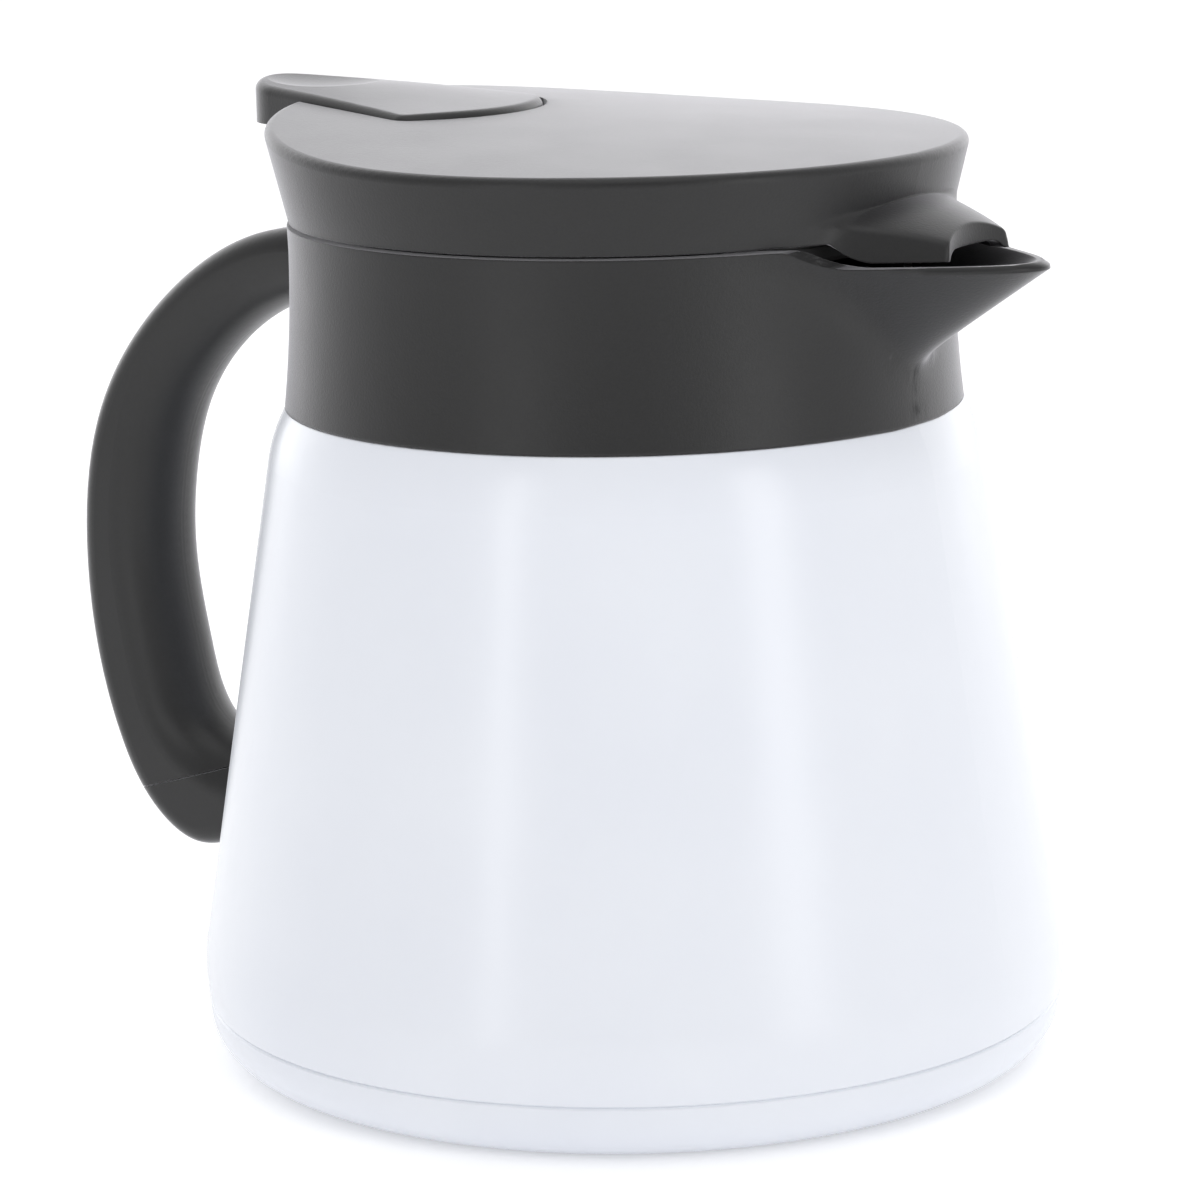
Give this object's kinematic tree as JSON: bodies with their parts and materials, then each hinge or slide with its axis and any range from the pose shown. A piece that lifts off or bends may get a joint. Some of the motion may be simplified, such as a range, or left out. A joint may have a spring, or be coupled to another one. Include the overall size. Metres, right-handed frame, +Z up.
{
  "type": "thermal coffee server",
  "caption": "Squat tapered double-wall coffee server in white painted steel with a charcoal spout collar, loop handle and lift-out lid whose thumb lever opens a sprung pouring valve.",
  "frame": {"origin": "centre of the standing ring, on the body's axis at the level of the table", "axes": "+Z up along the body's axis, +X towards the spout, handle at -X, mirror plane at Y = 0"},
  "size_m": [0.1547, 0.117, 0.1297],
  "materials": {
    "white_paint": "semi-gloss powder coat, cool white",
    "flask_steel": "electropolished stainless steel",
    "charcoal_plastic": "fine matte grain, charcoal",
    "handle_plastic": "smooth satin, charcoal",
    "inner_plastic": "plain moulded, dark grey",
    "silicone": "matte silicone, grey",
    "hardware_steel": "plain stainless steel"
  },
  "bodies": {
    "server": {"outer_shell": "white_paint", "base_cap": "white_paint", "inner_flask": "flask_steel", "getter_capsule": "flask_steel", "evacuation_seal": "flask_steel", "collar": "charcoal_plastic", "neck_seal": "silicone", "handle": "handle_plastic", "handle_end_cap": "handle_plastic", "handle_bracket": "hardware_steel", "handle_screw": "hardware_steel"},
    "lid": {"lid_cover": "charcoal_plastic", "stopper": "inner_plastic", "stem_guide": "inner_plastic", "lid_gasket": "silicone", "lid_screws": "hardware_steel", "lever_pin": "hardware_steel", "valve_spring": "hardware_steel"},
    "lever": {"lever": "charcoal_plastic"},
    "valve": {"valve_stem": "inner_plastic", "valve_seal": "silicone", "stem_head": "inner_plastic"}
  },
  "joints": [
    {"name": "lid_lift", "type": "slide", "parent": "server", "child": "lid", "axis": [0, 0, 1], "range_m": [0, 0.04]},
    {"name": "lever_press", "type": "hinge", "parent": "lid", "child": "lever", "pos_m": [-0.0235, 0, 0.1218], "axis": [0, -1, 0], "range_deg": [0, 10], "stiffness_Nm_per_rad": 0.1, "springref_deg": -2.86},
    {"name": "valve_lift", "type": "slide", "parent": "lid", "child": "valve", "axis": [0, 0, 1], "range_m": [0, 0.0042], "deforming": ["valve_spring"]}
  ],
  "couplings": [
    {"joint": "valve_lift", "follows": "lever_press", "m_per_rad": 0.0235}
  ]
}
